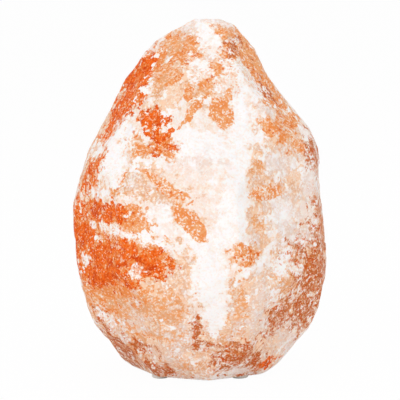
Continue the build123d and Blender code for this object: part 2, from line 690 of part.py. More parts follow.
def filament_supports():
    """Two fine wires that spread from the press to the filament's arch."""
    reach = SUPPORT_SPACING / 2
    start = (LEAD_SPACING - LEAD_WIRE) / 4
    drop = FILAMENT_ARCH_RADIUS - (FILAMENT_ARCH_RADIUS**2 - reach**2) ** 0.5
    top = FILAMENT_TOP - drop - (FILAMENT_THICKNESS + SUPPORT_WIRE) / 2
    lines = [Line((side * start, STEM_TOP), (side * reach, top)) for side in (-1, 1)]
    return [wire(SUPPORT_WIRE / 2, line) for line in lines]


def filament():
    """The fine coil, drawn as the wire that it looks like, hung in an arch between the leads."""
    foot_left, foot_right = (-FILAMENT_HALF, FILAMENT_FOOT), (FILAMENT_HALF, FILAMENT_FOOT)
    return wire(FILAMENT_THICKNESS / 2, ThreePointArc(foot_left, (0, FILAMENT_TOP), foot_right))


# ---------------------------------------------------------------- files

PIECES = (
    salt_crystal,
    foot_pads,
    cord_nipple,
    lock_nut,
    clip_washer,
    spring_clip,
    holder_cap,
    holder_shell,
    holder_core,
    screw_socket,
    centre_contact,
    terminals,
    terminal_screws,
    bulb_contact,
    bulb_insulator,
    bulb_cap,
    bulb_glass,
    bulb_stem,
    bulb_leads,
    filament_supports,
    filament,
)


def write(name, shape):
    """One STEP file for one named node, which may hold several separate solids."""
    pieces = shape if isinstance(shape, list) else [shape]
    solids = [solid for piece in pieces for solid in piece.solids()]
    whole = solids[0] if len(solids) == 1 else Compound(children=solids)
    whole.label = name
    export_step(whole, f"parts/{name}.step")


for piece in PIECES:
    write(piece.__name__, piece())
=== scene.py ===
"""Salt crystal lamp: a hewn block of rock salt that stands over a clip-in bulb holder."""

import math

import bmesh
import bpy
import numpy as np
from bpy.props import FloatProperty, FloatVectorProperty, IntProperty, PointerProperty
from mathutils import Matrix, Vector, noise


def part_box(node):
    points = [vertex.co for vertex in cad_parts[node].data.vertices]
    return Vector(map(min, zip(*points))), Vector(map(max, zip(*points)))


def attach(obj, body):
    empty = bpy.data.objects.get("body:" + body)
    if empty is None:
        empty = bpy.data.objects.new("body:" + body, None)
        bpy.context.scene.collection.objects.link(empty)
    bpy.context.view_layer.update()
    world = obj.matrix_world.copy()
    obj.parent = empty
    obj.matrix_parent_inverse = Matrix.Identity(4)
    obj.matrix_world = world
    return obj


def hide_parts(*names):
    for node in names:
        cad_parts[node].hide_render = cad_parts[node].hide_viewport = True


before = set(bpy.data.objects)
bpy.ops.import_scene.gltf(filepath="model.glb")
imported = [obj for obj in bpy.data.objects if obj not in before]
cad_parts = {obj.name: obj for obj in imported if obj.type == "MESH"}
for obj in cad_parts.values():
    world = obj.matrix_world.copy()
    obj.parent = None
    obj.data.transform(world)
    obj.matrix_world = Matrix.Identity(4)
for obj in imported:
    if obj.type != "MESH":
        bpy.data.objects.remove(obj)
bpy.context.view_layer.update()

bl_info = {
    "name": "Salt crystal lamp",
    "version": (1, 0, 0),
    "blender": (4, 5, 0),
    "location": "3D View > Sidebar > Salt Lamp",
    "description": "Finishes the block, the bulb holder and the bulb of a salt crystal lamp",
    "category": "Object",
}

MM = 0.001
VIEW_TILT = math.radians(9)  # how far the photograph looks down
VIEW_CENTRE = 103.5  # mm, the height that its middle shows

# The block, in mm
CAVITY_RADIUS = 25.0
CAVITY_ROOF = 114.0
BASE = 2.0  # height of the sawn base, which stands on the pads
GROOVE_HALF_WIDTH = 5.0
GROOVE_TOP = 11.0
DRILL_RING = 1.7  # between the rings that the core drill left in the cavity
SWELL_SIZE = 30.0
FLAKE_SIZE = 24.0
SCOOP_SIZE = 13.0
GRAIN_SIZE = 5.0
DEEPEST = -4.0  # how far the broken face may lie under the smooth one
HIGHEST = 2.5  # and over it
SMOOTHING_ROUNDS = 16
FRONT_ENDS = (12.0, 40.0)  # between these, behind the axis, the placed colours give way to the mottling
PATCH_REACH = 9.0  # the greatest depth that the mesh keeps, inside a patch and outside it

# The two threads, in mm: radius at the crest and at the root, and the rise of one turn
NIPPLE_THREAD = {"crest": 5.0, "root": 4.42, "pitch": 1.0}
NIPPLE_BORE = 3.5  # radius
CAP_THREAD = {"crest": 6.85, "root": 6.43, "pitch": 2.82}
CAP_WALL = 0.2
CAP_PLAIN = (0.3, 1.9)  # without thread at the bottom and the top
STEPS_AROUND = 64
STEPS_PER_TURN = 10  # along the rise of one turn
RUN_OUT = 0.7  # of a turn's rise, over which a thread fades in and out
THREAD_CORNER = 0.4  # chamfer of a threaded tube's ends

# The soft lamps, in metres
LAMPS = {"key": (-0.75, -1.0, 0.75), "fill": (1.0, -0.8, 0.35), "top": (0.1, 0.35, 1.2)}
LAMP_SIZE = 0.9


def srgb(red, green, blue):
    """A colour given as 0 to 255 on screen, as the linear colour that shaders take."""
    out = []
    for value in (red, green, blue):
        c = value / 255
        out.append(c / 12.92 if c <= 0.04045 else ((c + 0.055) / 1.055) ** 2.4)
    return tuple(out)


def colour(name, description, *screen):
    """A setting for a colour, whose default is given as 0 to 255 on screen."""
    return FloatVectorProperty(
        name=name, description=description, subtype="COLOR", size=3, min=0, max=1, default=srgb(*screen)
    )


def length(name, description, millimetres):
    """A setting for a length."""
    return FloatProperty(name=name, description=description, default=millimetres * MM, unit="LENGTH", precision=5)


# Where each colour of salt lies on the front: how far across and up its middle is from the view's middle,
# half its length and half its width in mm, and how many degrees its length is tilted. "lens" is for the
# orange spots with sharp edges.
PATCHES = {
    "deep": (
        (-35, 68.5, 14, 6, 61), (-41, 55.5, 11, 5.5, 61), (-50, 42, 10, 3, 61), (-28, 43.5, 6.5, 3.6, -12),
        (-26, 34, 4.5, 2.2, -40), (-20, 32.5, 4.5, 2, 35), (-16, 27, 4, 2, -20), (-25, 25, 3, 2.5, 0),
        (-61.5, 11, 10, 4.5, 65), (-68, -20.5, 16, 7, 90), (-60, -44, 9, 8, 0), (-29, -39, 10, 7, 0),
        (-51.5, -32, 15, 8, 0), (-55, -10, 11, 5, 0), (-61, -5, 8, 4, 0), (40, -96, 5, 2, 30),
        (-49, -46, 11, 4.5, -10),
    ),
    "lens": (
        (-6, -15, 12, 4.4, -49), (12, 46, 8, 5.3, 112), (16.5, 55, 5, 1.8, 75), (37, 1, 8, 3.6, 8),
        (-3.5, 47, 9, 2, 50), (26, -33, 6, 4, 0), (-20, 6, 14, 1.8, -32), (28, 74, 10, 2.5, -60),
    ),
    "orange": (
        (17, 81, 8, 6.5, 60), (11, 73, 4.5, 4, 45), (18.7, 92.4, 9, 3, -15), (-15, 91, 6.5, 3.5, 30),
        (-6.4, 87, 4, 2.5, 40), (-8, 79, 6, 5, 60), (-21.6, 79, 8, 2.4, 65), (-17.5, 73, 8, 2, 50),
        (-15, 65, 5, 4.5, 0), (-6.4, 56.7, 3, 3, 0), (6, 66, 5, 5, 0), (29, 77, 16, 4.5, -60),
        (37.4, 61.4, 14, 4.5, -55), (45, 52, 6, 3, -45), (49.7, 41.5, 6, 5.5, 0), (48, 33, 5, 4, 90),
        (52.6, 27, 6, 4, 0), (40, 38, 7, 3.5, -40), (-15, 1, 8, 2, -35), (-45.6, 7, 5.5, 2, 60),
        (24.6, -34, 7, 5, 0), (-34, 24, 4.5, 3, 20), (-39, 33, 4, 2, 0), (-20, 28, 7, 4.5, -30),
        (-43, -55, 14, 7.5, -15), (-47, -70, 9, 3.5, -40), (-38, -77, 7, 3, -30), (-47, -15, 15, 7, 0),
        (-35, -15, 8, 6, 0), (-44, -37, 23, 13, 0), (-61, -57, 7, 6, 0), (-49, -55, 12, 5, 0),
    ),
    "tan": (
        (-52, -61, 17, 10, -30), (-35, -62, 14, 8, -15), (-44, -80, 15, 6, -45), (-20, -66, 12, 9, 0),
        (-13, -80, 11, 6, 0), (-32, -93, 11, 4, -30), (44, 4, 6, 3, 0), (33, 16, 4, 2, 70),
        (32.8, -16, 4, 3, 90), (8, -86, 10, 5, 0), (-40, 2, 8, 3, -15), (-21, 67, 8, 5, 50),
        (24, 88, 8, 4, -40), (36, 66, 14, 5, -58), (22, -66, 16, 5, 90), (58, -46, 16, 10, 70),
        # (70, -20) is an upright band along the right edge: partly tan salt and partly painted shade of the
        # darker right side.
        (50, -52, 12, 8, 80), (-37, 28, 6, 5, 0), (70, -20, 20, 5, 90), (-8, -99, 12, 4, 0),
        (-50, -66, 12, 6, -50), (-62, 6, 18, 5, 80), (10, 66, 16, 9, 30), (-12, 84, 10, 8, 0),
    ),
    "brown": (
        (-2, -77, 5, 2, 80), (17, -93, 10, 8, 0), (25, -90, 7, 5, 0), (18, 82, 5, 3.5, 60),
        # The upright patches along the right edge, (62, -50), (68, -46), (65.5, -36), (66, 26), (67, -26) and
        # (69, -10), are partly brown salt and partly painted shade of the darker right side.
        (34, 65, 8, 2, -55), (1.5, -86, 6, 3, 0), (62, -50, 18, 8, 75), (68, -46, 18, 5, 90),
        (65.5, -36, 7, 5, 90), (47, -66, 12, 5, 55), (60, -68, 10, 6, 60), (57, -30, 8, 6, 60),
        (44.5, -73, 11, 3, 45), (-47, -87, 13, 4, -48), (-54, -76, 7, 2.5, -50), (-23.4, -100.6, 9, 3, -25),
        (-20.5, -104, 5, 2.5, 0), (-31, -90, 6, 3, -40), (30, -96, 6, 5, 90), (66, 26, 11, 4, 90),
        (67, -26, 12, 6, 90), (69, -10, 8, 3.5, 90),
    ),
    "grey": (
        (-8, 94, 5, 4, 0), (8, 101, 10, 4, -10), (17.5, 97.7, 11, 3, -20), (-25, 88, 8, 3, 55),
        # (64, 8) along the right edge is partly grey salt and partly painted shade of the darker right side.
        (41, 47, 5, 4, 0), (48, 19, 9, 8, 0), (46, -8, 14, 10, 90), (64, 8, 18, 7, 90),
        (48.6, -82, 11, 9, 60), (56, -22, 12, 9, 0), (-49, -77, 8, 3, -40), (-39, -73, 8, 6, 0),
        (-38, -60, 5, 3, 90), (-19, -92, 11, 8, 0), (34, -58, 13, 5, 80), (7.6, -89, 8, 2.5, 90),
        (21, -100, 4.5, 3, 0), (33, -74, 9, 7, 90), (21, -74, 8, 4, 80), (-9, -76, 7, 5, 0),
        (2, 19, 12, 5, 0),
    ),
    "white": (
        (5.3, 87.5, 7.5, 6, 90), (8, 83, 5, 5, 0), (-1, 72, 7, 6, 0), (25, 66, 16, 6.5, -50),
        (16.4, 62.6, 8, 6, 0), (23.4, 41, 22, 5, 90), (21, 20.5, 18, 5, 90), (19.3, -6, 18, 6, 90),
        (14, -20, 9, 3, 100), (0, 28, 13, 6.5, 0), (-46, 27, 15, 7, 70), (-57, 27, 5, 3, 60),
        (-47, 14, 10, 4.5, 80), (-57, 2, 6, 3, 0), (-25, -11, 8, 5, 0), (3, -29, 11, 6, 125),
        (-54, 16, 6, 3, 80), (6.5, -43, 13, 8.5, 100), (7.5, -59, 11, 5.5, 98), (6.5, -72, 9, 3, 94),
        (47, -39, 8, 4.5, 80), (56, -43, 3, 3, 0), (42, -58, 5, 3, 70), (-44.5, -21, 14, 1.8, -20),
        (-54, -71, 6, 2.5, -30), (-61, -18, 2.5, 2, 0), (-65.5, -36, 3, 2, 90), (-36, -43, 3.5, 3, 0),
        (18, 88, 3, 1, 0), (43, -13, 6, 3, 0),
    ),
    "peach": (
        (-19, 61, 13, 9, 60), (-45, -70, 22, 20, -40), (-30, -85, 24, 16, -30), (-40, -50, 22, 16, 0),
        (30, -85, 26, 14, 10), (58, -44, 14, 28, 0), (52, 8, 5, 10, 10), (45, 32, 10, 14, 20),
        (8, 70, 22, 18, 0), (30, 60, 14, 8, -50), (-65, 0, 8, 26, 0), (-55, 45, 26, 6, 61),
        (0, -88, 30, 12, 0), (-12, -8, 9, 4.5, -40), (34, 8, 16, 7, 90), (32, -18, 16, 6, 90),
        (-13, -50, 17, 8, 95), (36, -60, 16, 12, 60), (-30, 6, 16, 7, -25),
    ),
}
# For the sides and the back: the mottling's size in mm, the level that its noise has to pass, and how many
# mm inside a patch a step of 1 in the noise is.
MOTTLING = {
    "deep": (30.0, 0.26, 38.0),
    "lens": (16.0, 0.5, 26.0),
    "orange": (22.0, 0.15, 30.0),
    "tan": (26.0, 0.12, 32.0),
    "brown": (28.0, 0.28, 36.0),
    "grey": (24.0, 0.2, 30.0),
    "white": (25.0, 0.02, 32.0),
    "peach": (32.0, -0.12, 34.0),
}
SHADES = ("snow", "cream", "peach", "tan", "orange", "amber", "deep", "rust", "brown", "rose", "grey")


class CrystalSettings(bpy.types.PropertyGroup):
    step: length("Surface step", "Side of the mesh's squares on the block", 1.1)
    wave: length("Waves", "Depth of the slow swells of the broken faces", 1.3)
    chip: length("Chips", "Depth of the flakes that broke off", 1.1)
    scoop: length("Scoops", "Depth of the small hollows", 0.7)
    grain: length("Grain", "Depth of the rough grain", 0.28)
    seed: IntProperty(
        name="Seed", description="Number behind the flakes' tilts and the colours' outlines", default=5, min=1
    )
    snow: colour("Snow", "Powdery white salt", 253, 251, 251)
    cream: colour("Cream", "Clear salt over paler salt", 248, 230, 219)
    peach: colour("Peach", "Faintly coloured salt", 247, 203, 168)
    # Tan, brown and grey also colour the painted shade along the block's right edge, besides the salt's own
    # colours.
    tan: colour("Tan", "Peach salt with clay in it", 228, 168, 124)
    orange: colour("Orange", "Coloured salt", 236, 140, 72)
    amber: colour("Amber", "Coloured salt, paler and speckled", 240, 166, 108)
    deep: colour("Deep orange", "The strongest colour", 240, 98, 8)
    rust: colour("Rust", "Darkest of the strong colour", 205, 60, 0)
    brown: colour("Brown", "Salt with iron and clay", 188, 92, 34)
    rose: colour("Rose brown", "Paler brown salt", 204, 132, 86)
    grey: colour("Grey cream", "Translucent salt that looks a little grey", 236, 217, 208)


class FinishSettings(bpy.types.PropertyGroup):
    rubber: colour("Rubber", "Foot pads", 226, 222, 216)
    zinc: colour("Zinc plating", "Nipple, nut, washer and screws", 196, 199, 203)
    spring: colour("Spring steel", "Clip", 186, 187, 188)
    plastic: colour("Holder plastic", "Cap and shell of the holder", 34, 33, 33)
    steatite: colour("Steatite", "Core of the holder", 226, 217, 200)
    brass: colour("Brass", "Socket and contacts", 214, 176, 96)
    nickel: colour("Nickel plating", "Cap of the bulb", 205, 200, 190)
    black_glass: colour("Black glass", "Insulator of the bulb", 18, 16, 20)
    solder: colour("Solder", "Contact of the bulb", 176, 177, 178)
    tungsten: colour("Tungsten", "Filament", 92, 92, 96)


class StageSettings(bpy.types.PropertyGroup):
    distance: length("Camera distance", "From the middle of the view", 1300)
    lens: FloatProperty(name="Lens", description="Focal length", default=200, unit="CAMERA")
    drop: length("View drop", "How far under the block's middle the view is centred", 2.9)
    key: FloatProperty(name="Key lamp", description="Soft lamp at the front left", default=5.8, unit="POWER")
    fill: FloatProperty(name="Fill lamp", description="Soft lamp at the right", default=3.0, unit="POWER")
    top: FloatProperty(name="Top lamp", description="Soft lamp overhead", default=2.6, unit="POWER")
    room: FloatProperty(name="Room light", description="Even light from all round", default=0.6, min=0)
    floor: colour("Floor", "Pale floor", 252, 251, 250)


class LampSettings(bpy.types.PropertyGroup):
    crystal: PointerProperty(type=CrystalSettings)
    finish: PointerProperty(type=FinishSettings)
    stage: PointerProperty(type=StageSettings)


class Wire:
    """One output of a node. The operators on it add Math nodes."""

    def __init__(self, recipe, socket):
        self.recipe = recipe
        self.socket = socket

    def _math(self, operation, *values):
        return self.recipe.add("ShaderNodeMath", dict(enumerate(values)), operation=operation)

    def __add__(self, other):
        return self._math("ADD", self, other)

    __radd__ = __add__

    def __sub__(self, other):
        return self._math("SUBTRACT", self, other)

    def __rsub__(self, other):
        return self._math("SUBTRACT", other, self)

    def __mul__(self, other):
        return self._math("MULTIPLY", self, other)

    __rmul__ = __mul__

    def __truediv__(self, other):
        return self._math("DIVIDE", self, other)

    def __pow__(self, other):
        return self._math("POWER", self, other)

    def __abs__(self):
        return self._math("ABSOLUTE", self)

    def most(self, other):
        """The greater of the two."""
        return self._math("MAXIMUM", self, other)

    def least(self, other):
        """The smaller of the two."""
        return self._math("MINIMUM", self, other)

    def wrapped(self, high):
        """What is left over from whole times high."""
        return self._math("WRAP", self, high, 0.0)

    def step(self, low, high):
        """0 below low, 1 above high, smooth between; falling when low is the greater."""
        return self.recipe.add(
            "ShaderNodeMapRange",
            {"Value": self, "From Min": low, "From Max": high},
            interpolation_type="SMOOTHSTEP",
        )


class Recipe:
    """A material, or the world, and the nodes that make it."""

    def __init__(self, name, owner=None):
        self.material = owner or bpy.data.materials.new(name)
        self.material.use_nodes = True
        self.tree = self.material.node_tree
        self.tree.nodes.clear()

    def add(self, kind, sockets=None, out=0, **settings):
        """Adds a node: its settings first, then its sockets' values or links. Returns one output."""
        node = self.tree.nodes.new(kind)
        for key, value in settings.items():
            setattr(node, key, value)
        for key, value in (sockets or {}).items():
            socket = node.inputs[key]
            if isinstance(value, Wire):
                self.tree.links.new(value.socket, socket)
            elif socket.type == "RGBA" and len(value) == 3:
                socket.default_value = (*value, 1)
            else:
                socket.default_value = value
        return Wire(self, node.outputs[out]) if node.outputs else node

    def mix(self, factor, first, second):
        """A colour between first and second."""
        return self.add("ShaderNodeMix", {0: factor, 6: first, 7: second}, 2, data_type="RGBA")

    def millimetres(self):
        """The place on the piece, in mm."""
        place = self.add("ShaderNodeTexCoord", out="Object")
        return self.vector("SCALE", place, scale=1 / MM)

    def vector(self, operation, first, second=None, scale=None):
        """Maths on vectors or colours."""
        sockets = {0: first}
        if second is not None:
            sockets[1] = second
        if scale is not None:
            sockets["Scale"] = scale
        return self.add("ShaderNodeVectorMath", sockets, operation=operation)

    def noise(self, place, size, detail=2.0, roughness=0.5, out=0, shift=0.0):
        """Noise of about 0 to 1, with features of the given size in mm."""
        if shift:
            place = self.vector("ADD", place, (shift, shift * 1.7, -shift))
        return self.add(
            "ShaderNodeTexNoise",
            {"Vector": place, "Scale": 1 / size, "Detail": detail, "Roughness": roughness},
            out,
        )

    def cells(self, place, size, out=0):
        """Cells of the given size in mm: the distance from the middle, or with out=1 a random colour."""
        return self.add("ShaderNodeTexVoronoi", {"Vector": place, "Scale": 1 / size}, out)

    def parts(self, kind, value):
        """The three numbers of a colour or a vector, by a node of this kind."""
        node = self.add(kind, {0: value}).socket.node
        return [Wire(self, node.outputs[i]) for i in range(3)]

    def grains(self, place, size):
        """Three random numbers of 0 to 1 for each grain of the given size in mm."""
        return self.parts("ShaderNodeSeparateColor", self.cells(place, size, out=1))

    def three(self, place, size, detail=2.0, roughness=0.5, shift=0.0):
        """Three separate noises of about -0.5 to 0.5 from one node."""
        shades = self.noise(place, size, detail, roughness, 1, shift)
        return [part - 0.5 for part in self.parts("ShaderNodeSeparateColor", shades)]

    def bump(self, height, depth, strength):
        """A Bump node for a height of 0 to 1 that stands for depth in mm."""
        return self.add("ShaderNodeBump", {"Strength": strength, "Distance": depth * MM, "Height": height})

    def surface(self, sockets):
        """Ends the recipe with a Principled surface."""
        shader = self.add("ShaderNodeBsdfPrincipled", sockets)
        self.end(shader)
        return self.material

    def end(self, shader, kind="ShaderNodeOutputMaterial"):
        """Ends the recipe with this shader."""
        self.add(kind, {0: shader})


def salt(shades):
    """Rock salt: the patches on the mesh, broken up at their edges, over mottled white salt."""
    r = Recipe("rock_salt")
    # Mixed as square roots and squared at the end, so that white over orange looks peach and not pink.
    shades = {name: tuple(part ** 0.5 for part in shade) for name, shade in shades.items()}
    place = r.millimetres()

    # Noises: three of each size, so that the colours' edges and clouds differ
    wide = r.three(place, 9.0, 3.0, 0.55)
    close = r.three(place, 4.2, 3.0, 0.55, 31.0)
    fine = r.three(place, 1.9, 2.0, 0.5, 57.0)
    slow = r.three(place, 24.0, 3.0, 0.5, 83.0)
    grit = r.cells(place, 1.5)
    flake = r.cells(r.vector("ADD", place, (7.0, 3.0, 11.0)), 3.6)

    def patch(name, numbers, soft, spread):
        """Mask of a colour: its depth in mm on the mesh, frayed by one noise of each size."""
        depth = r.add("ShaderNodeAttribute", out="Fac", attribute_name=name)
        for noises, number, reach in zip((wide, close, fine), numbers, spread):
            depth = depth + noises[number] * reach
        return depth.step(-soft, soft)

    # The tan, brown and grey masks also hold the painted shade along the block's right edge.
    peach = patch("peach", (0, 1, 2), 2.0, (30.0, 34.0, 8.0))
    tan = patch("tan", (2, 0, 1), 1.5, (20.0, 28.0, 10.0))
    orange = patch("orange", (1, 2, 0), 0.8, (11.0, 16.0, 7.0))
    lens = patch("lens", (1, 2, 0), 0.5, (3.0, 5.0, 3.5))
    deep = patch("deep", (2, 0, 1), 0.7, (12.0, 20.0, 9.0))
    brown = patch("brown", (0, 2, 1), 1.6, (20.0, 28.0, 10.0))
    grey = patch("grey", (1, 0, 2), 2.2, (13.0, 20.0, 8.0))
    white = patch("white", (2, 1, 0), 1.1, (8.0, 13.0, 7.0))

    # White ground, then the colours from the palest to the strongest, then what lies over them
    ground = r.mix((slow[0] + close[0] * 0.7 + wide[1] * 0.6).step(-0.16, 0.14), shades["snow"], shades["cream"])
    blush = (close[2] + wide[0] * 1.4 + fine[0] * 0.2).step(0.0, 0.24)
    ground = r.mix(blush * 0.32, ground, shades["peach"])
    pale = r.mix((wide[1] + close[0] * 0.8 + fine[0] * 0.5).step(-0.14, 0.1), shades["peach"], shades["tan"])
    body = r.mix(peach * 0.85, ground, pale)
    mild = r.mix((wide[0] + close[2] + fine[1] * 0.6).step(-0.12, 0.14), shades["tan"], shades["amber"])
    body = r.mix(tan * 0.9, body, mild)
    clouds = (wide[1] + close[0] * 0.7 + slow[2] * 0.5).step(0.02, 0.16)
    body = r.mix(clouds * peach.most(tan) * 0.7, body, shades["grey"])
    warm = r.mix((wide[2] + close[0] + fine[2] * 0.7).step(-0.1, 0.14), shades["orange"], shades["amber"])
    body = r.mix(orange * 0.96, body, warm)
    rusty = (close[1] + wide[0] * 0.7 + fine[0] * 0.6).step(-0.02, 0.16)
    strong = r.mix(rusty * 0.9, shades["deep"], shades["rust"])
    strong = r.mix((wide[1] + close[2] + fine[1] * 0.4).step(0.03, 0.16) * 0.75, strong, shades["orange"])
    body = r.mix(deep * 0.97, body, strong)
    earth = r.mix((close[0] + wide[2] + fine[1] * 0.6).step(-0.05, 0.19), shades["brown"], shades["rose"])
    body = r.mix(brown * 0.9, body, earth)
    misty = (close[1] + wide[2] + fine[0] * 0.6).step(-0.16, 0.13) * 0.62 + 0.18
    body = r.mix(grey * misty, body, shades["grey"])
    chalk = 0.95 - (close[0] + wide[2] * 1.1 + fine[1] * 0.2).step(-0.04, 0.2) * 0.4
    body = r.mix(white * chalk, body, shades["snow"])
    body = r.mix(lens * 0.94, body, warm)

    # Powder, flecks, specks, grains, rusty stains and white veins
    powder = (close[1] + wide[1] * 0.8 + fine[1] * 0.8 + brown * 0.1).step(0.16, 0.27)
    body = r.mix(powder * (0.6 + brown * 0.2), body, shades["snow"])
    flecks = (fine[2] + close[0] * 0.5 + wide[1] * 0.4).step(0.15, 0.2)
    body = r.mix(flecks * 0.5, body, shades["snow"])
    specks = (grit + fine[2] * 0.4).step(0.3, 0.2) * (slow[1] + close[2]).step(-0.06, 0.06)
    body = r.mix(specks * (0.5 + deep * 0.2), body, shades["snow"])
    grains = r.grains(place, 0.95)
    body = r.mix(grains[0].step(0.6, 0.8) * (0.08 + tan.most(orange).most(lens) * 0.3), body, shades["orange"])
    body = r.mix(grains[1].step(0.7, 0.84) * (0.42 + lens * 0.25 - deep * 0.25), body, shades["snow"])
    body = r.mix(grains[2].step(0.75, 0.85) * (brown * 0.55).most(deep * 0.5), body, shades["rust"])
    coloured = orange.most(deep).most(brown * 0.8)
    stains = (flake + fine[0] * 0.8).step(0.24, 0.14) * coloured
    body = r.mix(stains * 0.5, body, shades["rust"])
    vein = abs(slow[2] + wide[0] * 0.3 + close[2] * 0.05).step(0.012, 0.0) * slow[0].step(0.0, 0.08)
    body = r.mix(vein * 0.55, body, shades["snow"])

    # The cut faces: paler, with the core drill's rings or the saw's strokes
    x, y, z = r.parts("ShaderNodeSeparateXYZ", place)
    drilled = ((x * x + y * y) ** 0.5).step(CAVITY_RADIUS + 1.2, CAVITY_RADIUS + 0.6)
    drilled = drilled * z.step(CAVITY_ROOF + 2.0, CAVITY_ROOF + 1.0)
    sawn = z.step(BASE + 0.5, BASE + 0.15)
    cut = drilled.most(sawn)
    rings = abs((z / DRILL_RING + close[0] * 0.2).wrapped(1.0) - 0.5)
    strokes = r.noise(r.vector("MULTIPLY", place, (1.0, 0.08, 1.0)), 1.1, 3.0)
    body = r.mix(cut * (0.3 + rings * drilled * 0.4 + strokes * sawn * 0.3), body, shades["snow"])
    body = r.vector("MULTIPLY", body, body)

    # Sheen and relief
    rough = 0.66 + wide[1] * 0.3 + fine[0] * 0.25 - grey * 0.12 + cut * 0.1
    pits = (flake + close[1] * 0.3).step(0.0, 0.35)
    height = (close[0] * 0.9 + fine[1] * 0.5 + pits * 0.5 + grit * 0.25) * (1 - cut * 0.6)
    relief = r.bump(height + drilled * rings * 0.9 + sawn * strokes * 0.8, 0.5, 0.6)
    return r.surface(
        {
            "Base Color": body,
            "Roughness": rough.most(0.4).least(0.95),
            "Normal": relief,
            "IOR": 1.54,
            "Subsurface Weight": 0.12,
            "Subsurface Radius": (1.0, 0.5, 0.25),
            "Subsurface Scale": 0.003,
            "Specular IOR Level": 0.1,
        }
    )


def moulded_rubber(shade):
    """Milky rubber, matt, with dust on it."""
    r = Recipe("moulded_rubber")
    place = r.millimetres()
    grain = r.noise(place, 0.25, 3.0)
    dust = r.noise(place, 2.2, 4.0, 0.6).step(0.5, 0.75)
    return r.surface(
        {
            "Base Color": r.mix(dust * 0.35, shade, srgb(196, 184, 176)),
            "Roughness": 0.78 + grain * 0.15,
            "Normal": r.bump(grain, 0.05, 0.5),
        }
    )


def plated(name, shade, roughness, bloom):
    """Plated steel: fine rolling lines, cloudy patches and a dull bloom."""
    r = Recipe(name)
    place = r.millimetres()
    lines = r.noise(r.vector("MULTIPLY", place, (0.6, 0.6, 6.0)), 0.8, 3.0, 0.6)
    cloud = r.noise(place, 3.0, 3.0, 0.6)
    spots = r.noise(place, 0.9, 2.0).step(0.62, 0.75) * cloud.step(0.45, 0.7)
    body = r.mix(cloud.step(0.35, 0.7), shade, bloom)
    return r.surface(
        {
            "Base Color": r.mix(spots * 0.5, body, srgb(140, 132, 122)),
            "Metallic": 1.0 - spots * 0.4,
            "Roughness": roughness + lines * 0.12 + cloud * 0.1 + spots * 0.3,
            "Normal": r.bump(lines, 0.012, 0.4),
        }
    )


def holder_plastic(shade):
    """Satin moulded plastic with a spark-eroded grain."""
    r = Recipe("holder_plastic")
    place = r.millimetres()
    grain = r.noise(place, 0.35, 3.0, 0.65)
    dust = r.noise(place, 4.0, 4.0, 0.65).step(0.52, 0.8)
    rubbed = r.noise(r.vector("MULTIPLY", place, (1.0, 1.0, 0.3)), 1.6, 3.0).step(0.5, 0.8)
    return r.surface(
        {
            "Base Color": r.mix(dust * 0.05, shade, srgb(190, 178, 168)),
            "Roughness": 0.38 + grain * 0.16 + dust * 0.2 - rubbed * 0.1,
            "Normal": r.bump(grain, 0.03, 0.5),
            "Specular IOR Level": 0.45,
        }
    )


def unglazed_ceramic(shade):
    """Pressed ceramic with cloudy patches and fine pores."""
    r = Recipe("unglazed_ceramic")
    place = r.millimetres()
    cloud = r.noise(place, 3.5, 4.0, 0.6)
    pores = r.cells(place, 0.5).step(0.16, 0.05)
    return r.surface(
        {
            "Base Color": r.mix(cloud.step(0.35, 0.75) * 0.5 + pores * 0.2, shade, srgb(205, 190, 168)),
            "Roughness": 0.6 + cloud * 0.2,
            "Normal": r.bump(cloud - pores * 0.4, 0.06, 0.5),
        }
    )


def black_glass(shade):
    """Black glass, glossy, with a few drawn streaks."""
    r = Recipe("black_glass")
    place = r.millimetres()
    swirl = r.noise(r.vector("MULTIPLY", place, (1.0, 1.0, 0.4)), 1.2, 3.0)
    return r.surface(
        {
            "Base Color": r.mix(swirl.step(0.5, 0.75) * 0.5, shade, srgb(46, 38, 58)),
            "Roughness": 0.08 + swirl * 0.14,
            "Normal": r.bump(swirl, 0.02, 0.3),
            "Coat Weight": 0.3,
        }
    )


def clear_glass():
    """Thin clear glass: see-through, with reflections and a faint film in patches."""
    r = Recipe("clear_glass")
    place = r.millimetres()
    film = r.noise(place, 6.0, 3.0).step(0.45, 0.85)
    edge = r.add("ShaderNodeLayerWeight", {"Blend": 0.35}, out="Facing")
    through = r.add("ShaderNodeBsdfTransparent", {"Color": srgb(247, 249, 248)})
    shine = r.add(
        "ShaderNodeBsdfPrincipled",
        {
            "Base Color": srgb(214, 221, 222),
            "Roughness": 0.03 + film * 0.06,
            "Specular IOR Level": 0.6,
            "Coat Weight": 0.6,
            "Coat Roughness": 0.02,
        },
    )
    weight = (edge * edge * 0.6 + 0.07 + film * 0.03).least(0.85)
    r.end(r.add("ShaderNodeMixShader", {0: weight, 1: through, 2: shine}))
    return r.material


def wire_metal(name, shade, roughness):
    """Bright metal with fine streaks, for wires and solder."""
    r = Recipe(name)
    place = r.millimetres()
    drawn = r.noise(place, 0.3, 2.0)
    return r.surface(
        {
            "Base Color": r.mix(drawn.step(0.4, 0.7) * 0.4, shade, srgb(120, 116, 112)),
            "Metallic": 1.0,
            "Roughness": roughness + drawn * 0.2,
            "Normal": r.bump(drawn, 0.01, 0.4),
        }
    )


